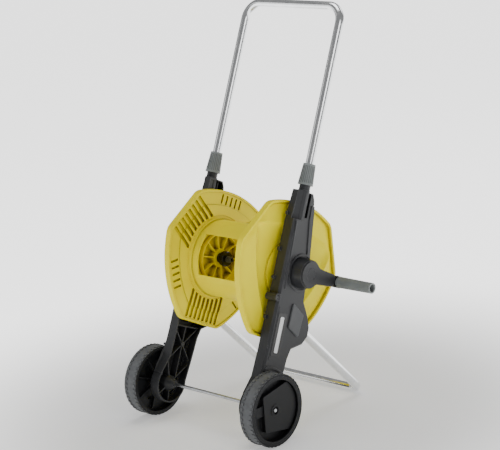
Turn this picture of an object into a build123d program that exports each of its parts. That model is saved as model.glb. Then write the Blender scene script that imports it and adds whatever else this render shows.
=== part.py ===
from build123d import *
import os
from math import atan2, cos, degrees, radians, sin, sqrt

# Garden hose reel cart, millimetres. X runs across the cart towards the crank,
# Y runs back towards the stand, Z is up and the ground is Z = 0. While it is
# drawn, X = 0 is the mid-plane and Y = 0 is the wheel axle; place_origin moves
# the finished pieces so that X = 0, Y = 0 is the middle of the whole outline.

# wheels and axle
wheel_r = 79.0
wheel_in = 159.5
wheel_out = 195.0
rim_r = 73.0
lug_depth = 1.5
lug_count = 44
axle_r = 4.0
axle_fit = 0.08

# side frames, drawn in the (p, s) plane: s runs up the handle line from the
# axle, p runs square to it towards the back
lean = 24.0
frame_in = 124.0
frame_out = 152.0
wall = 3.0
face_bevel = 5.0
axle_end_r = 43.0
frame_top = 468.0
rail_rise = 2.2
arch_r = 83.0
arch_w = 4.5
arch_rise = 4.5

# handle tube
tube_r = 9.5
tube_wall = 1.2
leg_x = 139.0
leg_p = 3.0
leg_foot = 372.0
bar_s = 875.0
bar_bend = 38.0
slide_fit = 0.3
sleeve_r = 13.0
sleeve_foot = 405.0
neck_r = 12.0
neck_top = 498.0
head_foot = 405.0
boss_p = -25.0
boss_s = 234.0
boss_edge_r = 8.5
rail_foot = 254.0
rail_top = 402.0

# twist collars on the handle
collar_foot = 481.0
collar_len = 46.0
collar_foot_r = 16.8
collar_top_r = 13.4
collar_ribs = 24
collar_fit = 1.1
collet_len = 15.0

# stand
stand_bar_y = 334.0
stand_bar_z = tube_r
stand_pitch = 46.5
stand_top_p = 28.0
stand_bend = 26.0
stand_socket_r = 12.5

# drum
drum_p = 33.0
drum_s = 296.0
flange_in = 101.0
flange_rise = 12.0
flange_out = flange_in + flange_rise
flange_r = 166.0
louvre_side = 154.5
plain_side = 149.0
plain_bow = 260.0
louvre_turn = 122.0
plain_turn = louvre_turn - 60
plate = 5.0
lip = 5.0
barrel_r = 86.0
barrel_wall = 4.0
window_turn = 157.5
window_half = 31.5
window_x = flange_in - 25
hub_r = 56.0
hub_ring_r = 21.0
hub_depth = 13.0
hub_pockets = 10

# bearings and water way
journal_r = 11.0
journal_fit = 0.06
bush_wall = 2.0
boss_r = 16.5
face_gap = 1.0
bore_r = 5.5
fitting_r = 17.0
fitting_in = flange_in - 34
fitting_len = 13.0
elbow_out = 188.0
elbow_r = 15.5
nipple_r = 8.6
nipple_len = 26.0

# crank
crank_foot_r = 34.0
crank_cap_r = 14.0
crank_rise = 30.0
crank_face_r = 28.0
crank_turn = -25.0
crank_reach = 93.0
arm_root = 18.5
arm_flare = 22.0
arm_tip = 13.5
arm_thick = 15.0
knuckle_w = 26.0
grip_foot = 183.0
grip_end = 277.0
grip_r = 12.5
grip_bore_r = 8.0
spindle_r = 5.0
spindle_fit = 0.08

across = (1, 0, 0)
lean_sin = sin(radians(lean))
lean_cos = cos(radians(lean))


def on_beam(p, s):
    """Y and Z of a point given in the side frame's own (p, s) plane."""
    y = p * lean_cos + s * lean_sin
    z = wheel_r - p * lean_sin + s * lean_cos
    return y, z


drum_y, drum_z = on_beam(drum_p, drum_s)
bar_y, bar_z = on_beam(leg_p, bar_s)
origin_x = (grip_end - wheel_out) / 2
origin_y = (bar_y + tube_r - wheel_r) / 2


def beam_plane(x):
    """Plane of a side frame at x: local X is p, local Y is s."""
    return Plane(origin=(x, 0, wheel_r), x_dir=(0, lean_cos, -lean_sin), z_dir=across)


def drum_plane(x):
    """Plane square to the drum at x: local X is +Y, local Y is +Z."""
    return Plane(origin=(x, drum_y, drum_z), x_dir=(0, 1, 0), z_dir=across)


def rod_x(x0, x1, r, y=0.0, z=0.0):
    """Round bar along X."""
    return Pos((x0 + x1) / 2, y, z) * Rot(0, 90, 0) * Cylinder(r, x1 - x0)


def cone_x(x0, x1, r0, r1, y=0.0, z=0.0):
    """Round cone along X, radius r0 at x0 and r1 at x1."""
    return Pos((x0 + x1) / 2, y, z) * Rot(0, 90, 0) * Cone(r0, r1, x1 - x0)


def rod_s(p, x, s0, s1, r):
    """Round bar along the handle line."""
    y, z = on_beam(p, (s0 + s1) / 2)
    return Pos(x, y, z) * Rot(-lean, 0, 0) * Cylinder(r, s1 - s0)


def cone_s(p, x, s0, s1, r0, r1):
    """Round cone along the handle line."""
    y, z = on_beam(p, (s0 + s1) / 2)
    return Pos(x, y, z) * Rot(-lean, 0, 0) * Cone(r0, r1, s1 - s0)


def slab(points, x0, x1):
    """Flat piece between x0 and x1 with an outline in the beam plane."""
    face = make_face(Polyline(*points, close=True))
    return extrude(beam_plane(x0) * face, x1 - x0)


def bar_slab(p0, s0, p1, s1, width, x0, x1):
    """Straight rib between two points of the beam plane."""
    dp = p1 - p0
    ds = s1 - s0
    length = sqrt(dp * dp + ds * ds)
    side_p = -ds / length * width / 2
    side_s = dp / length * width / 2
    points = [(p0 + side_p, s0 + side_s), (p1 + side_p, s1 + side_s)]
    points += [(p1 - side_p, s1 - side_s), (p0 - side_p, s0 - side_s)]
    return slab(points, x0, x1)


def mirrored(part):
    """The left-hand twin of a right-hand piece."""
    return mirror(part, about=Plane.YZ)


# side frames


def frame_outline():
    """Beam, hip and round axle end in the beam plane."""
    front = [(-16, frame_top), (-22, 400), (-22, 268), (-21, 120), (-24, 60)]
    foot = [(-40, 20), (42, 10)]
    rear = [(47, 60), (51, 110), (57, 131), (90, 146), (102, 164), (101, 186), (89, 208)]
    head = [(66, 238), (61, 290), (56, 332), (33, frame_top - 14), (26, frame_top - 2)]
    beam = make_face(Polyline(*front, *foot, *rear, *head, close=True))
    end = Circle(axle_end_r)
    return beam + end


def stand_top():
    """Y and Z of the stand leg's upper end, inside the hip."""
    angle = radians(stand_pitch)
    p_bar = stand_bar_y * lean_cos - (stand_bar_z - wheel_r) * lean_sin
    p_rate = cos(angle) * lean_cos + sin(angle) * lean_sin
    length = (p_bar - stand_top_p) / p_rate
    return stand_bar_y - length * cos(angle), stand_bar_z + length * sin(angle)


def stand_rod(t0, t1, r):
    """Round bar on the stand leg's own line."""
    angle = radians(stand_pitch)
    y_top, z_top = stand_top()
    t = (t0 + t1) / 2
    y = y_top + t * cos(angle)
    z = z_top - t * sin(angle)
    return Pos(leg_x, y, z) * Rot(90 - stand_pitch, 0, 0) * Cylinder(r, t1 - t0)


def frame_ribs():
    """Webs inside the open side of the beam."""
    x0 = frame_in + 6
    x1 = frame_out - wall
    ribs = bar_slab(-22, 52, 50, 128, 2.2, x0, x1)
    ribs += bar_slab(-22, 128, 48, 52, 2.2, x0, x1)
    ribs += bar_slab(13, 14, 13, 130, 2.2, x0, x1)
    ribs += bar_slab(0, 0, -22, 52, 2.2, x0, x1)
    ribs += bar_slab(0, 0, 49, 52, 2.2, x0, x1)
    ribs += bar_slab(0, 0, -30, -30, 2.2, x0, x1)
    ribs += bar_slab(0, 0, 6, -42, 2.2, x0, x1)
    y, z = on_beam(13, 90)
    ribs += rod_x(x0 - 2, x1, 5.2, y, z)
    ribs += bar_slab(-24, 130, 52, 130, 2.4, x0, x1)
    for s in (345, 370, 395, 420, 445):
        ribs += bar_slab(18, s, 50, s, 2.2, x0, x1)
    ribs += bar_slab(18, 140, 18, 165, 2.2, x0, x1)
    ribs += bar_slab(18, 330, 18, frame_top - 2, 2.2, x0, x1)
    ribs += bar_slab(20, 150, 90, 158, 2.2, x0, x1)
    ribs += bar_slab(60, 226, 20, 246, 2.2, x0, x1)
    ribs += bar_slab(33, 230, 33, 290, 2.2, x0, x1)
    return ribs


def frame_right():
    """Moulded side frame: open channel, hub boss, axle boss and hip socket."""
    outline = frame_outline()
    core = frame_out - face_bevel - frame_in
    body = extrude(beam_plane(frame_in) * outline, core)
    face = offset(outline, -face_bevel)
    body += loft([beam_plane(frame_out - face_bevel) * outline, beam_plane(frame_out) * face])
    hollow = offset(outline, -wall)
    deep = offset(outline, -wall - face_bevel)
    inside = extrude(beam_plane(frame_in - 1) * hollow, core + 1 - wall)
    inside += extrude(beam_plane(frame_in) * deep, frame_out - wall - frame_in)
    shell = body - inside
    ribs = frame_ribs() & extrude(beam_plane(frame_in) * offset(outline, -1), frame_out - 1 - frame_in)
    shell += ribs
    shell -= head_facet()
    shell += head_block()
    shell -= head_window()
    shell += edge_bosses()
    shell += rod_s(leg_p, leg_x, sleeve_foot, frame_top + 2, sleeve_r)
    shell += rod_s(leg_p, leg_x, frame_top, neck_top, neck_r)
    shell += rod_x(frame_in, frame_out, boss_r, drum_y, drum_z)
    shell += rod_x(frame_in, frame_out, 12, 0, wheel_r)
    shell += cone_x(frame_in - 12, frame_in + 6, 7.0, 17.5, 0, wheel_r)
    shell += rod_x(frame_in + 6, frame_out - 1, 17.5, 0, wheel_r)
    shell += rod_x(frame_out, wheel_in - 2.5, 11, 0, wheel_r)
    socket = stand_rod(-3, 74, stand_socket_r) & extrude(beam_plane(frame_in) * outline, frame_out - frame_in)
    shell += socket
    shell -= rod_s(leg_p, leg_x, 135, neck_top + 1, tube_r + slide_fit)
    shell -= stand_rod(0, 100, tube_r + 0.05)
    shell -= rod_x(frame_in - 2, frame_out + 1, journal_r + journal_fit + bush_wall, drum_y, drum_z)
    shell -= rod_x(frame_in - 13, wheel_in, axle_r, 0, wheel_r)
    shell += frame_trim(outline)
    return shell


def prism_s(points, s0, s1):
    """Straight piece along the handle line with an outline in X and p."""
    y, z = on_beam(0, s0)
    plane = Plane(origin=(0, y, z), x_dir=across, z_dir=(0, lean_sin, lean_cos))
    return extrude(plane * make_face(Polyline(*points, close=True)), s1 - s0)


def head_facet():
    """Wedge cut off the head's front outer corner."""
    x = frame_out
    return prism_s([(x - 12, -30), (x - 12, -17), (x - 1, -1), (x + 5, -1), (x + 5, -30)], head_foot, frame_top + 2)


def head_block():
    """Solid front of the head, with its slanting facet."""
    x = frame_out
    points = [(frame_in + 2, -14), (x - 12, -17), (x - 1, -1), (x - 1, 3), (leg_x, 3), (frame_in + 2, -4)]
    return prism_s(points, head_foot, frame_top - 1)


def head_window():
    """Deep slot in the outer face beside the handle sleeve."""
    return slab([(3.5, 412), (15.5, 412), (15.5, frame_top + 3), (3.5, frame_top + 3)], leg_x - 8, frame_out + 1)


def edge_bosses():
    """Screw boss and four small closing lugs on the front edge."""
    y, z = on_beam(boss_p, boss_s)
    bosses = rod_x(frame_in, frame_out + rail_rise, boss_edge_r, y, z)
    bosses -= rod_x(frame_out + rail_rise - 2, frame_out + rail_rise + 1, boss_edge_r - 3, y, z)
    for p, s in ((-20.5, 415), (-22.5, 337), (-22, 275), (-21.5, 189)):
        y, z = on_beam(p, s)
        bosses += rod_x(frame_in, frame_in + 7, 4.8, y, z)
    return bosses


def frame_trim(outline):
    """Raised rails, crank ring, arch lip and badge frame on the outer face."""
    y_face = frame_out - 0.5
    top = frame_out + rail_rise
    trim = front_rail(frame_out)
    trim += slab([(40, 332), (50, 332), (31, 440), (22, 440), (24, 408)], y_face, top)
    ring = rod_x(y_face, top, crank_foot_r + 7, drum_y, drum_z)
    ring -= rod_x(y_face - 1, top + 1, crank_foot_r + 3, drum_y, drum_z)
    face = extrude(beam_plane(y_face) * offset(outline, -face_bevel - 0.5), rail_rise + 0.5)
    trim += ring & face
    arch = rod_x(y_face - 3, frame_out + arch_rise, arch_r + arch_w, 0, wheel_r)
    arch -= rod_x(y_face - 4, frame_out + arch_rise + 1, arch_r, 0, wheel_r)
    band = slab([(-20, 60), (43, 50), (46, 100), (-19, 110)], y_face - 4, frame_out + arch_rise + 1)
    trim += arch & band
    return trim


def front_rail(x):
    """Sloping rail down the front edge of the outer face."""
    low = Polyline((x - 8, -21.5), (x + 2.4, -9), (x + 2.4, -6.5), (x - 1, -5.5), close=True)
    high = Polyline((x - 8, -21.5), (x + 2.4, -17), (x + 2.4, -14.5), (x - 1, -13.5), close=True)
    sections = []
    for s, outline in ((rail_foot, low), (rail_top, high)):
        y, z = on_beam(0, s)
        plane = Plane(origin=(0, y, z), x_dir=across, z_dir=(0, lean_sin, lean_cos))
        sections.append(plane * make_face(outline))
    rail = loft(sections)
    lower = [(x - 4, -18), (x + 1.6, -12.5), (x - 1, -11.5)]
    return rail + prism_s(lower, 98, 216)


def lug_screw(p, s, r, x0, x1):
    """Domed screw head on the side frame."""
    y, z = on_beam(p, s)
    head = rod_x(x0, x1 - 1, r, y, z)
    head += cone_x(x1 - 1, x1, r, r - 1.2, y, z)
    slot = Pos(x1, y, z) * Rot(-lean, 0, 0) * Box(1.6, 1.4, 2 * r - 2)
    return head - slot


def hip_plate():
    """Lighter inlay on the hip."""
    outline = Polyline((27, 230), (68, 208), (64, 158), (26, 176), close=True)
    face = make_face(outline)
    face = fillet(face.vertices(), 4)
    plate_solid = extrude(beam_plane(frame_out) * face, 2.6)
    crown = extrude(beam_plane(frame_out + 2.6) * offset(face, -1.4), 0.8)
    return plate_solid + crown


def badge():
    """Plain blank badge on the lower beam."""
    x0 = frame_out
    face = RectangleRounded(27, 94, 3)
    plate_solid = extrude(beam_plane(x0) * Pos(2.5, 156) * face, 1.6)
    return plate_solid


def badge_bar():
    """Plain pale strip set on the badge."""
    face = RectangleRounded(11, 78, 2.5)
    return extrude(beam_plane(frame_out + 1.6) * Pos(2.5, 156) * face, 0.8)


# wheels


def tyre():
    """Tread band with small lugs round both edges."""
    lug_w = 5.6
    root = wheel_r - lug_depth
    width = wheel_out - wheel_in
    band = Circle(root)
    teeth = PolarLocations(root, lug_count) * Rectangle(2 * lug_depth, lug_w)
    toothed = (band + teeth) & Circle(wheel_r)
    edge = 7.0
    solid = extrude(Plane.YZ.offset(wheel_in + 1.5) * toothed, edge)
    solid += extrude(Plane.YZ.offset(wheel_out - 1.5 - edge) * toothed, edge)
    solid += extrude(Plane.YZ.offset(wheel_in) * Circle(root), width)
    solid -= extrude(Plane.YZ.offset(wheel_in - 1) * Circle(rim_r), width + 2)
    return Pos(0, 0, wheel_r) * solid


def wheel():
    """Dished wheel with a three-sided raised centre and ribs behind."""
    seat_r = rim_r
    shell_r = rim_r - 3.5
    web_x = wheel_out - 20
    deck_x = wheel_out - 6
    ring = rod_x(wheel_in + 0.5, wheel_out - 0.5, seat_r) - rod_x(wheel_in, wheel_out, shell_r)
    ring += rod_x(wheel_out - 4, wheel_out - 0.5, seat_r) - rod_x(wheel_out - 5, wheel_out, shell_r - 3)
    web = rod_x(web_x, web_x + 3, seat_r - 1)
    deck_sketch = Circle(shell_r - 4)
    for turn, reach in ((100, 44), (260, 46), (180, 33)):
        cut = Rot(0, 0, turn) * Pos(reach + 40, 0) * Rectangle(80, 160)
        deck_sketch -= cut
    deck_sketch = fillet(deck_sketch.vertices(), 5)
    deck = extrude(Plane.YZ.offset(web_x + 1) * deck_sketch, deck_x - web_x - 1)
    core = extrude(Plane.YZ.offset(web_x - 1) * offset(deck_sketch, -3), deck_x - 3 - web_x + 1)
    step = Pos(web_x + 5, -44, 8) * Box(10, 22, 22)
    hub = rod_x(wheel_in - 1.0, deck_x + 1.5, 12.5)
    cup = rod_x(deck_x - 3, wheel_out, 8.5)
    ribs = Part()
    for n in range(8):
        rib = Pos(wheel_in + 8 + (web_x - wheel_in - 8) / 2, 38, 0) * Box(web_x - wheel_in - 8, 54, 2.2)
        ribs += Rot(22.5 + 45 * n, 0, 0) * rib
    solid = ring + web + deck - core + step + hub + ribs
    solid -= cup
    solid -= rod_x(wheel_in - 2, wheel_out + 1, axle_r + axle_fit)
    return Pos(0, 0, wheel_r) * solid


def axle_rod():
    """Plain steel axle from wheel to wheel."""
    end = wheel_out - 4
    rod = rod_x(-end, end, axle_r, 0, wheel_r)
    return chamfer(rod.edges().filter_by(GeomType.CIRCLE), 0.8)


def push_nut():
    """Spring cap that keeps the wheel on the axle."""
    x0 = wheel_out - 8.6
    nut = rod_x(x0, x0 + 1.0, 7.2, 0, wheel_r)
    nut += cone_x(x0 + 1.0, x0 + 3.0, 6.2, 5.2, 0, wheel_r)
    nut -= rod_x(x0 - 1, x0 + 4, axle_r, 0, wheel_r)
    return nut


def axle_washer():
    """Thrust washer between frame and wheel."""
    x0 = wheel_in - 2.5
    ring = rod_x(x0, x0 + 1.2, 10, 0, wheel_r)
    return ring - rod_x(x0 - 1, x0 + 3, axle_r, 0, wheel_r)


# stand and handle


def u_tube(plane, half, foot, top, bend):
    """Bent tube: two legs from foot to top joined by a straight bar."""
    path = FilletPolyline((half, foot), (half, top), (-half, top), (-half, foot), radius=bend)
    path = plane * path
    start = Plane(origin=path @ 0, z_dir=path % 0)
    solid = sweep(start * Circle(tube_r), path=path)
    bore = sweep(start * Circle(tube_r - tube_wall), path=path)
    return solid - bore


def stand_tube():
    """Bent steel foot fixed in both hips."""
    y_top, z_top = stand_top()
    length = sqrt((stand_bar_y - y_top) ** 2 + (stand_bar_z - z_top) ** 2)
    angle = radians(stand_pitch)
    plane = Plane(origin=(0, y_top, z_top), x_dir=across, z_dir=(0, sin(angle), cos(angle)))
    return u_tube(plane, leg_x, 0, length, stand_bend)


def handle_tube():
    """Telescopic handle: two legs and a crossbar."""
    y, z = on_beam(leg_p, 0)
    plane = Plane(origin=(0, y, z), x_dir=across, z_dir=(0, -lean_cos, lean_sin))
    return u_tube(plane, leg_x, leg_foot, bar_s, bar_bend)


def leg_plug():
    """Guide plug on the handle leg's lower end."""
    plug = rod_s(leg_p, leg_x, leg_foot - 3, leg_foot + 14, tube_r - tube_wall)
    shoe = rod_s(leg_p, leg_x, leg_foot - 16, leg_foot, 11.5)
    limit = Pos(leg_x - 10, 0, 0) * slab([(-20, 300), (30, 300), (30, 420), (-20, 420)], -10, 19.4)
    return plug + (shoe & limit)


def collar():
    """Tapered twist collar with fine grip grooves."""
    top = collar_foot + collar_len
    body = cone_s(leg_p, leg_x, collar_foot, top, collar_foot_r, collar_top_r)
    y, z = on_beam(leg_p, collar_foot + collar_len / 2)
    tilt = degrees(atan2(collar_foot_r - collar_top_r, collar_len))
    mid_r = (collar_foot_r + collar_top_r) / 2
    for n in range(collar_ribs):
        groove = Pos(mid_r, 0, 0) * Rot(0, -tilt, 0) * Box(1.6, 1.7, collar_len - 9)
        body -= Pos(leg_x, y, z) * Rot(-lean, 0, 0) * Rot(0, 0, 360 / collar_ribs * n) * groove
    body -= rod_s(leg_p, leg_x, collar_foot - 1, neck_top + collet_len + 1.5, neck_r + 0.4)
    body -= rod_s(leg_p, leg_x, collar_foot, top + 1, tube_r + collar_fit)
    return body


def collet():
    """Split ring that the collar squeezes on the tube."""
    ring = rod_s(leg_p, leg_x, neck_top + 0.3, neck_top + collet_len, neck_r)
    ring -= rod_s(leg_p, leg_x, neck_top - 1, neck_top + collet_len + 1, tube_r + slide_fit)
    y, z = on_beam(leg_p, neck_top + collet_len / 2)
    split = Pos(leg_x + 10, y, z) * Rot(-lean, 0, 0) * Box(14, 2, collet_len + 4)
    return ring - split


# drum


def flange_outline():
    """Round flange with three straight sides and three bowed ones."""
    outline = Circle(flange_r)
    for n in range(3):
        outline -= Rot(0, 0, louvre_turn + 120 * n) * Pos(louvre_side + 50, 0) * Rectangle(100, 400)
        outline &= Rot(0, 0, plain_turn + 120 * n) * Pos(plain_side - plain_bow, 0) * Circle(plain_bow)
    return fillet(outline.vertices(), 28)


def louvre_grooves(x0, x1):
    """Three fans of straight grooves and three groups of short rim grooves."""
    cuts = Part()
    reach0 = barrel_r + 9
    reach1 = louvre_side - 8
    for n in range(3):
        for k in range(8):
            side = (k - 3.5) * 13.5
            start = sqrt(reach0 * reach0 - side * side)
            groove = RectangleRounded(reach1 - start, 8.2, 2.6)
            spot = Rot(0, 0, louvre_turn + 120 * n) * Pos((start + reach1) / 2, side)
            cuts += extrude(drum_plane(x0) * spot * groove, x1 - x0)
        for k in range(5):
            side = (k - 2) * 15.0
            groove = RectangleRounded(22, 5.0, 2.2)
            spot = Rot(0, 0, plain_turn + 120 * n) * Pos(plain_side - 21, side)
            cuts += extrude(drum_plane(x0) * spot * groove, x1 - x0)
    return cuts


def flange():
    """Right-hand drum flange with its rim lip, hub pockets and journal seat."""
    outline = flange_outline()
    disc = extrude(drum_plane(flange_in) * outline, plate)
    rim = extrude(drum_plane(flange_in - 2) * outline, flange_out - flange_in + 2)
    rim -= extrude(drum_plane(flange_in - 3) * offset(outline, -lip), flange_out - flange_in + 4)
    inner = offset(outline, -34)
    shelf = extrude(drum_plane(flange_in - 2.0) * inner, 3)
    shelf -= rod_x(flange_in - 4, flange_in + 2, barrel_r + 9, drum_y, drum_z)
    disc += rim + shelf
    disc -= louvre_grooves(flange_in - 3, flange_in + plate - 1.3)
    disc -= rod_x(flange_in - 4, flange_out + 1, hub_r + 1, drum_y, drum_z)
    back = flange_in + plate
    disc += rod_x(back - 3, back, hub_r + 2, drum_y, drum_z)
    hub = rod_x(back - 3 - hub_depth, back - 2, hub_r, drum_y, drum_z)
    hub -= rod_x(back - 4 - hub_depth, back - 3, hub_r - 3, drum_y, drum_z)
    for n in range(hub_pockets):
        rib = Pos(0, hub_r / 2, 0) * Box(hub_depth + 1, hub_r - 3, 3.0)
        hub += Pos(back - 2.5 - hub_depth / 2, drum_y, drum_z) * Rot(36 * n + 18, 0, 0) * rib
    hub += rod_x(back - 3 - hub_depth, back - 2, hub_ring_r, drum_y, drum_z)
    disc += hub
    disc += rod_x(back - 1, frame_in - face_gap, 30, drum_y, drum_z)
    disc += rod_x(back - 0.5, back + 3.0, 62, drum_y, drum_z)
    return disc


def right_flange():
    """Crank-side flange with the driving stub."""
    disc = flange()
    disc += rod_x(frame_in - face_gap - 2, frame_out + 0.9, journal_r, drum_y, drum_z)
    disc += square_stub(frame_out + 0.5, frame_out + 12)
    disc -= rod_x(frame_out - 12, frame_out + 14, 2.4, drum_y, drum_z)
    return disc


def square_stub(x0, x1):
    """Square drive under the crank."""
    return Pos((x0 + x1) / 2, drum_y, drum_z) * Box(x1 - x0, 14, 14)


def left_flange():
    """Inlet-side flange, bored for the water tube."""
    disc = mirrored(flange())
    return disc - rod_x(-frame_in - 1, -flange_in + 20, journal_r, drum_y, drum_z)


def barrel():
    """Winding core: a tube with three long windows."""
    half = flange_in
    tube = rod_x(-half, half, barrel_r, drum_y, drum_z)
    bore = rod_x(-half - 1, half + 1, barrel_r - barrel_wall, drum_y, drum_z)
    collar_ring = rod_x(-half, -half + 9, barrel_r + 3.5, drum_y, drum_z)
    collar_ring += rod_x(half - 9, half, barrel_r + 3.5, drum_y, drum_z)
    tube = tube + collar_ring - bore
    for n in range(3):
        tube -= window(window_turn + 120 * n)
    return tube


def window(turn):
    """One window cut through the winding core."""
    width = 2 * barrel_r * sin(radians(window_half))
    cut = Box(2 * window_x, 60, width)
    return Pos(0, drum_y, drum_z) * Rot(turn, 0, 0) * Pos(0, barrel_r, 0) * cut


def drum_screws():
    """Three tie screws in the crank-side hub."""
    group = []
    for n in range(3):
        angle = radians(window_turn + 60 + 120 * n)
        y = drum_y + 54 * cos(angle)
        z = drum_z + 54 * sin(angle)
        x0 = flange_in + plate + 4.0
        head = rod_x(x0, x0 + 3.0, 5.5, y, z) - rod_x(x0 + 1.4, x0 + 4, 2.2, y, z)
        group.append(head)
    return Compound(children=group)


def drum_bush():
    """Plain bearing bush pressed in the side frame."""
    outer = journal_r + journal_fit + bush_wall
    bush = rod_x(frame_in, frame_out, outer, drum_y, drum_z)
    return bush - rod_x(frame_in - 1, frame_out + 1, journal_r + journal_fit, drum_y, drum_z)


# water way on the left


def inlet_tube():
    """Hollow journal that carries water into the drum."""
    tube = rod_x(-elbow_out + 10, -fitting_in - 4, journal_r, drum_y, drum_z)
    for x in (-frame_out - 8, -frame_out - 15):
        groove = rod_x(x - 1.2, x + 1.2, journal_r + 1, drum_y, drum_z)
        groove -= rod_x(x - 2, x + 2, journal_r - 1.8, drum_y, drum_z)
        tube -= groove
    return tube - rod_x(-elbow_out, 0, bore_r, drum_y, drum_z)


def inlet_seals():
    """Two sealing rings in the inlet tube's grooves."""
    rings = []
    for x in (-frame_out - 8, -frame_out - 15):
        ring = rod_x(x - 1.0, x + 1.0, journal_r - 0.1, drum_y, drum_z)
        ring -= rod_x(x - 2, x + 2, journal_r - 1.8, drum_y, drum_z)
        rings.append(ring)
    return Compound(children=rings)


def hose_nut():
    """Round ribbed nut that clamps the hose end inside the drum."""
    x0 = -fitting_in - fitting_len
    nut = rod_x(x0, -fitting_in, fitting_r, drum_y, drum_z)
    nut = chamfer(nut.edges().filter_by(GeomType.CIRCLE), 1.5)
    for n in range(18):
        angle = radians(20 * n)
        y = drum_y + (fitting_r + 0.6) * cos(angle)
        z = drum_z + (fitting_r + 0.6) * sin(angle)
        nut -= rod_x(x0 - 1, -fitting_in + 1, 1.3, y, z)
    nut -= rod_x(x0 - 1, -fitting_in - 4, journal_r, drum_y, drum_z)
    nut -= rod_x(x0 - 1, -fitting_in + 1, 7.0, drum_y, drum_z)
    return nut


def hose_tail():
    """Barbed spigot that the hose end pushes on."""
    x0 = -fitting_in - 4
    tail = rod_x(x0, -fitting_in + 2, 7.0, drum_y, drum_z)
    for n in range(3):
        x = -fitting_in + 2 + 4 * n
        tail += cone_x(x, x + 4, 6.6, 5.4, drum_y, drum_z)
    return tail - rod_x(x0 - 1, -fitting_in + 20, 4.0, drum_y, drum_z)


def inlet_elbow():
    """Angled housing outside the left frame that takes the supply hose."""
    x_in = -frame_out - 3.5
    body = rod_x(-elbow_out, x_in, elbow_r, drum_y, drum_z)
    body = chamfer(body.edges().filter_by(GeomType.CIRCLE), 1.5)
    arm_x = -elbow_out + 14
    arm = Pos(arm_x, drum_y + 13, drum_z) * Rot(90, 0, 0) * Cylinder(12.0, 26)
    flats = Pos(arm_x, drum_y + 23, drum_z) * Rot(90, 0, 0) * extrude(RegularPolygon(14, 6), 8)
    body += arm + flats
    body -= rod_x(-elbow_out + 9, x_in + 1, journal_r + journal_fit, drum_y, drum_z)
    body -= Pos(arm_x, drum_y + 21, drum_z) * Rot(90, 0, 0) * Cylinder(4.5, 44)
    return body


def inlet_nipple():
    """Push-on connector for the supply hose."""
    arm_x = -elbow_out + 14
    y0 = drum_y + 26
    nipple = Pos(arm_x, y0 + nipple_len / 2, drum_z) * Rot(90, 0, 0) * Cylinder(nipple_r, nipple_len)
    step = Pos(arm_x, y0 + 2, drum_z) * Rot(90, 0, 0) * Cylinder(10.5, 4)
    groove = Pos(arm_x, y0 + nipple_len - 7, drum_z) * Rot(90, 0, 0) * (Cylinder(12, 2.4) - Cylinder(6.9, 3))
    nipple = nipple + step - groove
    return nipple - Pos(arm_x, y0 + nipple_len / 2, drum_z) * Rot(90, 0, 0) * Cylinder(4.5, nipple_len + 4)


# crank


def crank_outline(foot, root, tip):
    """Outline of the crank at one level: a round foot flowing into a tapering arm."""
    edges = Circle(root).edges() + (Pos(crank_reach - 24, 0) * Circle(tip)).edges()
    outline = Circle(foot) + make_hull(edges)
    corners = [v for v in outline.vertices() if abs(Vector(v.X, v.Y, 0).length - foot) < 0.01]
    return Rot(0, 0, crank_turn) * fillet(corners, arm_flare)


def crank_arm():
    """Round foot and tapering arm of the crank, square-driven by the drum."""
    x0 = frame_out + 1.0
    x1 = frame_out + crank_rise
    crank = rod_x(x0, x0 + 3, crank_foot_r, drum_y, drum_z)
    crank += cone_x(x0 + 3, x1 - 3, crank_foot_r, crank_face_r + 2.5, drum_y, drum_z)
    low = drum_plane(x1 - arm_thick) * crank_outline(crank_face_r, arm_root + 1.5, arm_tip + 1.5)
    high = drum_plane(x1) * crank_outline(crank_face_r, arm_root, arm_tip)
    crank += loft([low, high])
    crank -= rod_x(x1 - 3, x1 + 2, crank_cap_r, drum_y, drum_z)
    crank -= square_stub(x0 - 1, frame_out + 12)
    crank -= rod_x(x0, x1, 2.6, drum_y, drum_z)
    crank -= rod_x(frame_out + 15, x1, 5.4, drum_y, drum_z)
    y, z = grip_axis()
    seat = Pos((grip_foot - 1 + x1 - arm_thick) / 2, y, z) * Rot(crank_turn, 0, 0) * Box(60, knuckle_w, 60)
    return crank - seat


def crank_cap():
    """Round cap over the crank screw."""
    x1 = frame_out + crank_rise
    cap = rod_x(x1 - 3, x1, crank_cap_r - 0.05, drum_y, drum_z)
    top = cap.faces().sort_by(Axis.X)[-1]
    return chamfer(top.edges(), 0.8)


def crank_screw():
    """Screw that holds the crank on the drum's stub."""
    x0 = frame_out + 15
    screw = rod_x(frame_out - 10, x0 + 1, 2.4, drum_y, drum_z)
    return screw + rod_x(x0, x0 + 3, 4.8, drum_y, drum_z)


def grip_axis():
    """Y and Z of the grip's own axis."""
    angle = radians(crank_turn)
    return drum_y + crank_reach * cos(angle), drum_z + crank_reach * sin(angle)


def crank_knuckle():
    """Block at the arm's end that carries the grip spindle."""
    y, z = grip_axis()
    x0 = frame_out + crank_rise - arm_thick
    block = Box(grip_foot - 1 - x0, knuckle_w, 26)
    block = fillet(block.edges().filter_by(Axis.X), 6)
    block = Pos((grip_foot - 1 + x0) / 2, y, z) * Rot(crank_turn, 0, 0) * block
    return block - rod_x(x0 - 1, grip_foot + 1, spindle_r, y, z)


def grip_spindle():
    """Steel pin the grip turns on."""
    y, z = grip_axis()
    x0 = frame_out + crank_rise - arm_thick
    pin = rod_x(x0, grip_end - 22, spindle_r, y, z)
    return pin + rod_x(grip_end - 22, grip_end - 19.5, spindle_r + 2.6, y, z)


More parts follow.
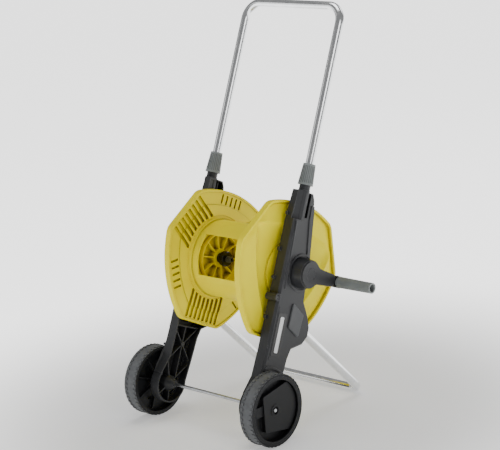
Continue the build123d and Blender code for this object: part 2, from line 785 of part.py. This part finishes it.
def grip_sleeve():
    """Free-turning grip, open at its outer end."""
    y, z = grip_axis()
    grip = cone_x(grip_foot, grip_foot + 6, grip_r - 1.0, grip_r, y, z)
    grip += cone_x(grip_foot + 6, grip_end, grip_r, grip_r - 0.8, y, z)
    grip -= rod_x(grip_foot - 1, grip_end, spindle_r + spindle_fit, y, z)
    grip -= rod_x(grip_end - 22.4, grip_end + 1, grip_bore_r, y, z)
    return grip


def pair(part):
    """A fastener and its twin on the other side, kept as two solids."""
    return Compound(children=[part, mirrored(part)])


def place_origin(part):
    """Move a finished piece to the library's origin."""
    return Pos(-origin_x, -origin_y, 0) * part


def all_pieces():
    """Every separate piece of the cart under its own name."""
    frame = frame_right()
    plate_r = hip_plate()
    badge_r = badge()
    bar_r = badge_bar()
    rim = wheel()
    tread = tyre()
    plug = leg_plug()
    twist = collar()
    squeeze = collet()
    bush = drum_bush()
    upper = lug_screw(boss_p, boss_s, boss_edge_r - 3.4, frame_out + rail_rise - 2, frame_out + rail_rise)
    return {
        "frame_right": frame,
        "frame_left": mirrored(frame),
        "hip_plate_right": plate_r,
        "hip_plate_left": mirrored(plate_r),
        "badge_right": badge_r,
        "badge_left": mirrored(badge_r),
        "badge_strip_right": bar_r,
        "badge_strip_left": mirrored(bar_r),
        "frame_screws": pair(upper),
        "axle_rod": axle_rod(),
        "axle_push_nuts": pair(push_nut()),
        "axle_washers": pair(axle_washer()),
        "wheel_right": rim,
        "wheel_left": mirrored(rim),
        "tyre_right": tread,
        "tyre_left": mirrored(tread),
        "stand_tube": stand_tube(),
        "handle_tube": handle_tube(),
        "handle_plug_right": plug,
        "handle_plug_left": mirrored(plug),
        "collar_right": twist,
        "collar_left": mirrored(twist),
        "collet_right": squeeze,
        "collet_left": mirrored(squeeze),
        "drum_flange_right": right_flange(),
        "drum_flange_left": left_flange(),
        "drum_barrel": barrel(),
        "drum_screws": drum_screws(),
        "drum_bush_right": bush,
        "drum_bush_left": mirrored(bush),
        "inlet_tube": inlet_tube(),
        "inlet_seals": inlet_seals(),
        "hose_nut": hose_nut(),
        "hose_tail": hose_tail(),
        "inlet_elbow": inlet_elbow(),
        "inlet_nipple": inlet_nipple(),
        "crank_arm": crank_arm(),
        "crank_cap": crank_cap(),
        "crank_screw": crank_screw(),
        "crank_knuckle": crank_knuckle(),
        "grip_spindle": grip_spindle(),
        "grip_sleeve": grip_sleeve(),
    }


os.makedirs("parts", exist_ok=True)
for name, piece in all_pieces().items():
    export_step(place_origin(piece), f"parts/{name}.step")
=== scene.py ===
import math

import bpy
from mathutils import Matrix, Vector


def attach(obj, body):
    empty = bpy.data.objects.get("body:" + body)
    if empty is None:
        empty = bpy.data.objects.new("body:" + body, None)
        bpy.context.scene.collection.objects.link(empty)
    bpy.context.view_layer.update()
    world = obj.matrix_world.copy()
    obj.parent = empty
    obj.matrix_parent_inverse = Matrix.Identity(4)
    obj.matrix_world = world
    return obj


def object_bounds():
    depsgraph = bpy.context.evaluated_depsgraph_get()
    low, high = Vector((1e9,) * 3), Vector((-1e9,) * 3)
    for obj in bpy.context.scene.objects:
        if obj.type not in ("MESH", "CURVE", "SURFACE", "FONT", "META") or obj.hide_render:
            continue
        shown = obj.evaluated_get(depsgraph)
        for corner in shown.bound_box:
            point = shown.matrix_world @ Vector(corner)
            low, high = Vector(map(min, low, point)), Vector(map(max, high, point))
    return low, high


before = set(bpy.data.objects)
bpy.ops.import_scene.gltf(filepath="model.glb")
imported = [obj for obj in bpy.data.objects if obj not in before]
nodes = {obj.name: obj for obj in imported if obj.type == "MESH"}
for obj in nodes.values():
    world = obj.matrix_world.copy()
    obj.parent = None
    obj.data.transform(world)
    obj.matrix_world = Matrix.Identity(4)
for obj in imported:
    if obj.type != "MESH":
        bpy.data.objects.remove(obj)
cadLow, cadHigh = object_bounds()
print("frame loaded:", len(nodes), "pieces")

mm = 0.001


def hexToLinear(text):
    # sRGB hex such as "f4d81c" to the linear colour the shaders want
    channels = []
    for start in (0, 2, 4):
        value = int(text[start:start + 2], 16) / 255
        channels.append(value / 12.92 if value <= 0.04045 else ((value + 0.055) / 1.055) ** 2.4)
    return (*channels, 1.0)


def addNode(tree, kind, settings=None, links=None):
    # one node, its settings by attribute or socket name, and its incoming links
    node = tree.nodes.new(kind)
    for key, value in (settings or {}).items():
        if isinstance(key, int) or key in node.inputs:
            node.inputs[key].default_value = value
        else:
            setattr(node, key, value)
    for key, source in (links or {}).items():
        tree.links.new(source, node.inputs[key])
    return node


def startMaterial(name):
    material = bpy.data.materials.new(name)
    material.use_nodes = True
    tree = material.node_tree
    tree.nodes.clear()
    output = addNode(tree, "ShaderNodeOutputMaterial")
    return material, tree, output


def setStops(ramp, stops):
    # colour ramp stops as (position, linear colour)
    elements = ramp.color_ramp.elements
    while len(elements) > 1:
        elements.remove(elements[-1])
    elements[0].position, elements[0].color = stops[0]
    for position, colour in stops[1:]:
        elements.new(position).color = colour


def mouldedPlastic(name, look):
    # Injection-moulded plastic: even colour with faint flow clouding, a spark-etched
    # grain that breaks the highlight, painted shade in recesses, and rounded edges painted paler in patches: a
    # painted edge highlight together with rubbing wear.
    material, tree, output = startMaterial(name)
    place = addNode(tree, "ShaderNodeTexCoord")
    clouds = addNode(tree, "ShaderNodeTexNoise",
                     {"Scale": 1 / (look["cloudMm"] * mm), "Detail": 3.0, "Roughness": 0.55},
                     {"Vector": place.outputs["Object"]})
    tint = addNode(tree, "ShaderNodeValToRGB", links={"Fac": clouds.outputs["Fac"]})
    setStops(tint, [(0.32, hexToLinear(look["deep"])), (0.68, hexToLinear(look["base"]))])
    # grooves and pockets are painted darker than the open face: painted shade, set by an occlusion mask
    openness = addNode(tree, "ShaderNodeAmbientOcclusion",
                       {"samples": 8, "only_local": True, "Distance": look["hollowMm"] * mm})
    hollow = addNode(tree, "ShaderNodeMapRange",
                     {"From Min": look["hollowFrom"], "From Max": 0.92, "To Min": 0.0, "To Max": 1.0},
                     {"Value": openness.outputs["AO"]})
    shaded = addNode(tree, "ShaderNodeMix", {"data_type": "RGBA"},
                     {0: hollow.outputs["Result"], 7: tint.outputs["Color"]})
    shaded.inputs[6].default_value = hexToLinear(look["hollow"])
    rounding = addNode(tree, "ShaderNodeBevel", {"samples": 6, "Radius": look["edgeMm"] * mm})
    flat = addNode(tree, "ShaderNodeNewGeometry")
    bend = addNode(tree, "ShaderNodeVectorMath", {"operation": "DOT_PRODUCT"},
                   {0: rounding.outputs["Normal"], 1: flat.outputs["Normal"]})
    # rounded edges found from the bevel normal; they are painted paler below, a painted edge highlight
    # together with rubbing wear
    roundedEdge = addNode(tree, "ShaderNodeMapRange",
                  {"From Min": 0.999, "From Max": 0.90, "To Min": 0.0, "To Max": 1.0},
                  {"Value": bend.outputs["Value"]})
    patchy = addNode(tree, "ShaderNodeTexNoise",
                     {"Scale": 1 / (9 * mm), "Detail": 4.0}, {"Vector": place.outputs["Object"]})
    faceColour = shaded.outputs[2]
    if "wall" in look:
        # the sidewalls keep their mould black while the tread scuffs to grey
        split = addNode(tree, "ShaderNodeSeparateXYZ", links={"Vector": place.outputs["Normal"]})
        aside = addNode(tree, "ShaderNodeMath", {"operation": "ABSOLUTE"}, {0: split.outputs["X"]})
        sidewall = addNode(tree, "ShaderNodeMapRange", {"From Min": 0.3, "From Max": 0.7},
                           {"Value": aside.outputs["Value"]})
        tread = addNode(tree, "ShaderNodeMix", {"data_type": "RGBA"},
                        {0: sidewall.outputs["Result"], 6: faceColour})
        tread.inputs[7].default_value = hexToLinear(look["wall"])
        faceColour = tread.outputs[2]
    # paler colour on the rounded edges in patches: painted edge highlight and rubbing wear
    edgeWearAndSheen = addNode(tree, "ShaderNodeMath", {"operation": "MULTIPLY"},
                   {0: roundedEdge.outputs["Result"], 1: patchy.outputs["Fac"]})
    edgeWearAndSheenWeight = addNode(tree, "ShaderNodeMath", {"operation": "MULTIPLY", 1: look["edgeWearAndSheen"]},
                         {0: edgeWearAndSheen.outputs["Value"]})
    edgeWearAndSheenMix = addNode(tree, "ShaderNodeMix", {"data_type": "RGBA"},
                   {0: edgeWearAndSheenWeight.outputs["Value"], 6: faceColour})
    edgeWearAndSheenMix.inputs[7].default_value = hexToLinear(look["edgeWearAndSheenHex"])
    # the etched grain is about 0.3 mm across; drawn coarser so that it shows
    grain = addNode(tree, "ShaderNodeTexNoise",
                    {"Scale": 1 / (look["grainMm"] * mm), "Detail": 2.0, "Roughness": 0.6},
                    {"Vector": place.outputs["Object"]})
    gloss = addNode(tree, "ShaderNodeMapRange",
                    {"From Min": 0.3, "From Max": 0.7,
                     "To Min": look["roughness"] - 0.05, "To Max": look["roughness"] + 0.07},
                    {"Value": clouds.outputs["Fac"]})
    etched = addNode(tree, "ShaderNodeBump",
                     {"Strength": look["grainDepth"], "Distance": 0.2 * mm},
                     {"Height": grain.outputs["Fac"], "Normal": rounding.outputs["Normal"]})
    shader = addNode(tree, "ShaderNodeBsdfPrincipled",
                     {"IOR": look["ior"], "Specular IOR Level": look["shine"],
                      "Coat Weight": look["skin"], "Coat Roughness": 0.18,
                      "Subsurface Weight": look["glow"], "Subsurface Scale": 2.5 * mm},
                     {"Base Color": edgeWearAndSheenMix.outputs[2], "Roughness": gloss.outputs["Result"],
                      "Normal": etched.outputs["Normal"]})
    tree.links.new(shader.outputs["BSDF"], output.inputs["Surface"])
    return material


# in each look below, the recess colour is painted shade, and the paler edge colour is a painted edge highlight
# together with rubbing wear
# glass-filled polypropylene, spark-etched mould: soft charcoal with a broad sheen
frameLook = {"base": "2e2f31", "deep": "262729", "edgeWearAndSheenHex": "7c7d80", "roughness": 0.42, "ior": 1.49,
             "shine": 0.36, "hollow": "0a0a0b", "hollowMm": 16, "hollowFrom": 0.2,
             "cloudMm": 60, "grainMm": 1.1, "grainDepth": 0.25, "edgeMm": 1.2, "edgeWearAndSheen": 0.7,
             "skin": 0.0, "glow": 0.0}
charcoalPolypropylene = mouldedPlastic("charcoalPolypropyleneEtched", frameLook)

# high-impact polypropylene, polished mould: clear bright yellow that glows at thin ribs
drumLook = {"base": "faea00", "deep": "f4e000", "edgeWearAndSheenHex": "fff03c", "roughness": 0.38, "ior": 1.49,
            "shine": 0.12, "hollow": "7d6a00", "hollowMm": 14, "hollowFrom": 0.25,
            "cloudMm": 90, "grainMm": 2.0, "grainDepth": 0.08, "edgeMm": 1.5, "edgeWearAndSheen": 0.4,
            "skin": 0.0, "glow": 0.05}
yellowPolypropylene = mouldedPlastic("yellowPolypropylenePolished", drumLook)

# thermoplastic elastomer, etched mould: mid grey, matt, hides its seams
gripLook = {"base": "7c8180", "deep": "707574", "edgeWearAndSheenHex": "a6aaa8", "roughness": 0.55, "ior": 1.5,
            "shine": 0.4, "hollow": "1c1d1e", "hollowMm": 5, "hollowFrom": 0.3,
            "cloudMm": 30, "grainMm": 0.9, "grainDepth": 0.3, "edgeMm": 0.6, "edgeWearAndSheen": 0.5,
            "skin": 0.0, "glow": 0.0}
greyElastomer = mouldedPlastic("greyElastomerEtched", gripLook)

# grey polypropylene inlay on the hips, drawn mould
hipLook = {"base": "4c4e50", "deep": "424446", "edgeWearAndSheenHex": "8f9193", "roughness": 0.45, "ior": 1.49,
           "shine": 0.4, "hollow": "1c1d1e", "hollowMm": 5, "hollowFrom": 0.3,
           "cloudMm": 22, "grainMm": 1.0, "grainDepth": 0.2, "edgeMm": 0.8, "edgeWearAndSheen": 0.5,
           "skin": 0.0, "glow": 0.0}
greyPolypropylene = mouldedPlastic("greyPolypropyleneEtched", hipLook)

# acetal, polished mould: near black with a tight highlight
blackLook = {"base": "151517", "deep": "0e0e10", "edgeWearAndSheenHex": "3c3c3f", "roughness": 0.3, "ior": 1.48,
             "shine": 0.4, "hollow": "1c1d1e", "hollowMm": 5, "hollowFrom": 0.3,
             "cloudMm": 20, "grainMm": 1.5, "grainDepth": 0.08, "edgeMm": 0.6, "edgeWearAndSheen": 0.5,
             "skin": 0.2, "glow": 0.0}
blackAcetal = mouldedPlastic("blackAcetalPolished", blackLook)

# tread compound, matt mould: black with scuffed grey lugs
treadLook = {"base": "6c6e70", "deep": "5e6062", "edgeWearAndSheenHex": "8a8b8d", "wall": "1f2022",
             "roughness": 0.68, "ior": 1.5, "shine": 0.3, "hollow": "0c0c0d", "hollowMm": 6, "hollowFrom": 0.3,
             "cloudMm": 14, "grainMm": 1.2, "grainDepth": 0.45, "edgeMm": 0.8, "edgeWearAndSheen": 0.9,
             "skin": 0.0, "glow": 0.0}
treadRubber = mouldedPlastic("treadRubberMoulded", treadLook)

# wheel body, polished mould: black with a satin dish
wheelLook = dict(frameLook, base="222325", deep="1a1b1d", edgeWearAndSheenHex="5c5d60", roughness=0.4,
                 edgeMm=1.0, shine=0.25)
blackPolypropylene = mouldedPlastic("blackPolypropyleneMoulded", wheelLook)

# printed polyester film on the badge: pale, flat and even
filmLook = {"base": "d9dadb", "deep": "cfd0d1", "edgeWearAndSheenHex": "f0f0f0", "roughness": 0.3, "ior": 1.57,
            "shine": 0.5, "hollow": "9a9b9c", "hollowMm": 2, "hollowFrom": 0.3,
            "cloudMm": 12, "grainMm": 0.8, "grainDepth": 0.05, "edgeMm": 0.2, "edgeWearAndSheen": 0.3,
            "skin": 0.3, "glow": 0.0}
paleFilm = mouldedPlastic("palePolyesterFilm", filmLook)


def drawnMetal(name, look):
    # Metal drawn through a die or turned: fine lines along the pull, light handling
    # marks, and a bright face that mirrors the room in long soft streaks.
    material, tree, output = startMaterial(name)
    place = addNode(tree, "ShaderNodeTexCoord")
    turned = addNode(tree, "ShaderNodeMapping", {"Rotation": look["turn"], "Scale": look["stretch"]},
                     {"Vector": place.outputs["Object"]})
    lines = addNode(tree, "ShaderNodeTexNoise",
                    {"Scale": 1 / (look["lineMm"] * mm), "Detail": 3.0, "Roughness": 0.6},
                    {"Vector": turned.outputs["Vector"]})
    marks = addNode(tree, "ShaderNodeTexNoise",
                    {"Scale": 1 / (18 * mm), "Detail": 5.0, "Roughness": 0.65},
                    {"Vector": place.outputs["Object"]})
    tint = addNode(tree, "ShaderNodeValToRGB", links={"Fac": marks.outputs["Fac"]})
    setStops(tint, [(0.35, hexToLinear(look["deep"])), (0.65, hexToLinear(look["base"]))])
    both = addNode(tree, "ShaderNodeMath", {"operation": "MULTIPLY_ADD", 1: 0.5},
                   {0: lines.outputs["Fac"], 2: marks.outputs["Fac"]})
    gloss = addNode(tree, "ShaderNodeMapRange",
                    {"From Min": 0.45, "From Max": 1.05,
                     "To Min": look["roughness"] - 0.04, "To Max": look["roughness"] + 0.08},
                    {"Value": both.outputs["Value"]})
    rounding = addNode(tree, "ShaderNodeBevel", {"samples": 4, "Radius": 0.4 * mm})
    scored = addNode(tree, "ShaderNodeBump", {"Strength": look["lineDepth"], "Distance": 0.05 * mm},
                     {"Height": lines.outputs["Fac"], "Normal": rounding.outputs["Normal"]})
    shader = addNode(tree, "ShaderNodeBsdfPrincipled", {"Metallic": 1.0},
                     {"Base Color": tint.outputs["Color"], "Roughness": gloss.outputs["Result"],
                      "Normal": scored.outputs["Normal"]})
    tree.links.new(shader.outputs["BSDF"], output.inputs["Surface"])
    return material


# aluminium tube, drawn and clear anodised: almost white with thin dark streaks
handleLook = {"base": "f2f3f4", "deep": "e2e4e6", "roughness": 0.16, "lineMm": 0.9, "lineDepth": 0.12,
              "turn": (math.radians(24), 0, 0), "stretch": (1.0, 1.0, 0.03)}
anodisedAluminium = drawnMetal("anodisedAluminiumDrawn", handleLook)

# zinc-plated steel, barrel plated: cooler and duller than the tubes
zincLook = {"base": "c9cbcd", "deep": "aeb0b3", "roughness": 0.28, "lineMm": 0.7, "lineDepth": 0.1,
            "turn": (0, 0, 0), "stretch": (0.05, 1.0, 1.0)}
zincSteel = drawnMetal("zincSteelPlated", zincLook)

finishes = {
    "frame_right": charcoalPolypropylene, "frame_left": charcoalPolypropylene,
    "crank_arm": charcoalPolypropylene, "crank_knuckle": blackAcetal,
    "crank_cap": charcoalPolypropylene, "crank_screw": zincSteel,
    "hip_plate_right": greyPolypropylene, "hip_plate_left": greyPolypropylene,
    "badge_right": blackAcetal, "badge_left": blackAcetal,
    "badge_strip_right": paleFilm, "badge_strip_left": paleFilm,
    "frame_screws": blackAcetal,
    "axle_rod": zincSteel, "axle_push_nuts": blackAcetal, "axle_washers": zincSteel,
    "wheel_right": blackPolypropylene, "wheel_left": blackPolypropylene,
    "tyre_right": treadRubber, "tyre_left": treadRubber,
    "stand_tube": anodisedAluminium, "handle_tube": anodisedAluminium,
    "handle_plug_right": blackAcetal, "handle_plug_left": blackAcetal,
    "collar_right": greyElastomer, "collar_left": greyElastomer,
    "collet_right": blackAcetal, "collet_left": blackAcetal,
    "drum_flange_right": yellowPolypropylene, "drum_flange_left": yellowPolypropylene,
    "drum_barrel": yellowPolypropylene, "drum_screws": zincSteel,
    "drum_bush_right": blackAcetal, "drum_bush_left": blackAcetal,
    "inlet_tube": blackAcetal, "inlet_seals": treadRubber,
    "hose_nut": blackAcetal, "hose_tail": greyPolypropylene,
    "inlet_elbow": charcoalPolypropylene, "inlet_nipple": greyPolypropylene,
    "grip_spindle": zincSteel, "grip_sleeve": greyElastomer,
}
for nodeName, finish in finishes.items():
    data = nodes[nodeName].data
    data.materials.clear()
    data.materials.append(finish)
print("finishes set:", len(finishes))

# raised facing on each flange: three shallow folds that run from edge to edge
flangeFacing = {"innerRadius": 64.0, "edgeInset": 8.0, "rings": 46, "spokes": 288,
                "straightSide": 154.5, "straightTurn": 122.0, "bowedSide": 149.0, "bowRadius": 260.0,
                "roundRadius": 160.0, "foldNear": 95.0, "foldRadius": 404.0,
                "crest": 8.6, "dish": 0.9, "rimLevel": 0.6, "innerFall": 7.0, "outerFall": 26.0,
                "face": 106.0, "sink": 0.4}
drumPlace = {"y": 5.97, "z": 335.99, "shift": -41.0}


def edgeRadius(turn):
    # distance from the drum's axis to the flange's edge, less the inset
    reach = flangeFacing["roundRadius"]
    for step in range(3):
        side = turn - math.radians(flangeFacing["straightTurn"] + 120 * step)
        if math.cos(side) > 0.2:
            reach = min(reach, flangeFacing["straightSide"] / math.cos(side))
        bow = turn - math.radians(flangeFacing["straightTurn"] - 60 + 120 * step)
        if math.cos(bow) > 0.2:
            offset = flangeFacing["bowRadius"] - flangeFacing["bowedSide"]
            swing = flangeFacing["bowRadius"] ** 2 - (offset * math.sin(bow)) ** 2
            reach = min(reach, math.sqrt(swing) - offset * math.cos(bow))
    return reach - flangeFacing["edgeInset"]


def foldHeight(radius, turn):
    # height of the facing: a crest along each fold, a dish inside and a slope outside
    level = flangeFacing["dish"]
    for step in range(3):
        middleTurn = math.radians(flangeFacing["straightTurn"] - 60 + 120 * step)
        along = radius * math.cos(turn - middleTurn)
        beside = radius * math.sin(turn - middleTurn)
        centre = flangeFacing["foldNear"] - flangeFacing["foldRadius"]
        past = math.hypot(along - centre, beside) - flangeFacing["foldRadius"]
        if along < 0:
            continue
        if past > 0:
            drop = flangeFacing["crest"] - flangeFacing["rimLevel"]
            rise = flangeFacing["rimLevel"] + drop * math.exp(-past / flangeFacing["outerFall"])
        else:
            drop = flangeFacing["crest"] - flangeFacing["dish"]
            rise = flangeFacing["dish"] + drop * math.exp(past / flangeFacing["innerFall"])
        fade = 0.5 + 0.5 * math.cos(turn - middleTurn - math.radians(18))
        if past > 0:
            level = rise * fade + level * (1 - fade)
        else:
            level = max(level, flangeFacing["dish"] + (rise - flangeFacing["dish"]) * fade)
    return level


def buildFacing(name, side):
    rings, spokes = flangeFacing["rings"], flangeFacing["spokes"]
    points, faces = [], []
    for spoke in range(spokes):
        turn = 2 * math.pi * spoke / spokes
        outer = edgeRadius(turn)
        for ring in range(rings + 2):
            # the first and last rings drop into the flange as a closed skirt
            inside = min(max(ring - 1, 0), rings - 1) / (rings - 1)
            radius = flangeFacing["innerRadius"] + (outer - flangeFacing["innerRadius"]) * inside
            edge = ring in (0, rings + 1)
            easing = min(1.0, 0.25 + 6 * min(inside, 1 - inside))
            height = -flangeFacing["sink"] if edge else foldHeight(radius, turn) * easing
            x = side * (flangeFacing["face"] + height) + drumPlace["shift"]
            y = drumPlace["y"] + radius * math.cos(turn)
            z = drumPlace["z"] + radius * math.sin(turn)
            points.append((x * mm, y * mm, z * mm))
    span = rings + 2
    for spoke in range(spokes):
        after = (spoke + 1) % spokes
        for ring in range(span - 1):
            quad = (spoke * span + ring, spoke * span + ring + 1, after * span + ring + 1, after * span + ring)
            faces.append(quad if side > 0 else quad[::-1])
        back = (spoke * span, after * span, after * span + span - 1, spoke * span + span - 1)
        faces.append(back if side > 0 else back[::-1])
    mesh = bpy.data.meshes.new(name)
    mesh.from_pydata(points, [], faces)
    for polygon in mesh.polygons:
        polygon.use_smooth = True
    mesh.materials.append(yellowPolypropylene)
    piece = bpy.data.objects.new(name, mesh)
    bpy.context.scene.collection.objects.link(piece)
    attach(piece, "drum")


buildFacing("flangeFacingRight", 1)
buildFacing("flangeFacingLeft", -1)
print("flange facings built")

middle = (cadLow + cadHigh) / 2

studio = {"floorSize": 14.0, "floorHex": "f4f4f3", "worldHex": "ffffff", "worldStrength": 0.28,
          "nearGlow": 0.35, "farGlow": 2.1, "glowFrom": 0.35, "glowTo": 1.1}


def pureFloor():
    # painted board, rolled: a pale sheet with the faintest mottle that glows by itself,
    # dim near the cart and brighter away from it: painted shade round the cart, with the background kept clear
    # of it
    material, tree, output = startMaterial("selfLitBoardFloor")
    place = addNode(tree, "ShaderNodeTexCoord")
    mottle = addNode(tree, "ShaderNodeTexNoise", {"Scale": 6.0, "Detail": 3.0},
                     {"Vector": place.outputs["Object"]})
    tint = addNode(tree, "ShaderNodeValToRGB", links={"Fac": mottle.outputs["Fac"]})
    setStops(tint, [(0.3, hexToLinear("f3f3f2")), (0.7, hexToLinear(studio["floorHex"]))])
    away = addNode(tree, "ShaderNodeVectorMath", {"operation": "LENGTH"}, {0: place.outputs["Object"]})
    # the floor's own glow rises with distance from the cart: painted light, and darker round the cart as
    # painted shade
    glow = addNode(tree, "ShaderNodeMapRange",
                   {"interpolation_type": "SMOOTHSTEP",
                    "From Min": studio["glowFrom"], "From Max": studio["glowTo"],
                    "To Min": studio["nearGlow"], "To Max": studio["farGlow"]},
                   {"Value": away.outputs["Value"]})
    shader = addNode(tree, "ShaderNodeBsdfPrincipled",
                     {"Roughness": 0.9, "Specular IOR Level": 0.1, "Emission Color": hexToLinear("ffffff")},
                     {"Base Color": tint.outputs["Color"], "Emission Strength": glow.outputs["Result"]})
    tree.links.new(shader.outputs["BSDF"], output.inputs["Surface"])
    return material


def buildFloor():
    size = studio["floorSize"]
    mesh = bpy.data.meshes.new("studioFloor")
    mesh.from_pydata([(-size, -size, 0), (size, -size, 0), (size, size, 0), (-size, size, 0)],
                     [], [(0, 1, 2, 3)])
    floor = bpy.data.objects.new("studioFloor", mesh)
    floor.location = (middle.x, middle.y, -0.0005)
    mesh.materials.append(pureFloor())
    bpy.context.scene.collection.objects.link(floor)


buildFloor()

world = bpy.data.worlds.new("softRoom")
world.use_nodes = True
bpy.context.scene.world = world
background = world.node_tree.nodes["Background"]
background.inputs["Color"].default_value = hexToLinear(studio["worldHex"])
background.inputs["Strength"].default_value = studio["worldStrength"]

lamps = {
    "keyBox": {"from": (2.8, -1.1, 1.5), "size": 1.3, "watts": 17},
    "topBox": {"from": (-0.3, 0.2, 2.6), "size": 1.6, "watts": 26},
    "fillBox": {"from": (-2.4, -1.8, 0.9), "size": 1.4, "watts": 7},
    "rimBox": {"from": (0.2, 2.6, 1.6), "size": 1.2, "watts": 12},
}
for lampName, lamp in lamps.items():
    data = bpy.data.lights.new(lampName, "AREA")
    data.shape = "SQUARE"
    data.size = lamp["size"]
    data.energy = lamp["watts"]
    lampObject = bpy.data.objects.new(lampName, data)
    lampObject.location = middle + Vector(lamp["from"])
    aim = middle - lampObject.location
    lampObject.rotation_euler = aim.to_track_quat("-Z", "Y").to_euler()
    bpy.context.scene.collection.objects.link(lampObject)

view = {"azimuth": 44.37, "elevation": 14.66, "roll": -4.61, "lens": 123.05,
        "eye": (2.4955, -2.5752, 1.3693)}


def buildCamera():
    azimuth, elevation, roll = (math.radians(view[key]) for key in ("azimuth", "elevation", "roll"))
    forward = Vector((-math.sin(azimuth) * math.cos(elevation),
                      math.cos(azimuth) * math.cos(elevation), -math.sin(elevation)))
    across = Vector((math.cos(azimuth), math.sin(azimuth), 0))
    upright = across.cross(forward)
    rolledAcross = across * math.cos(roll) + upright * math.sin(roll)
    rolledUp = upright * math.cos(roll) - across * math.sin(roll)
    data = bpy.data.cameras.new("viewer")
    data.lens = view["lens"]
    data.sensor_width = 36.0
    camera = bpy.data.objects.new("viewer", data)
    turn = Matrix((rolledAcross, rolledUp, -forward)).transposed()
    camera.matrix_world = Matrix.Translation(Vector(view["eye"])) @ turn.to_4x4()
    bpy.context.scene.collection.objects.link(camera)
    bpy.context.scene.camera = camera


buildCamera()
print("studio ready")
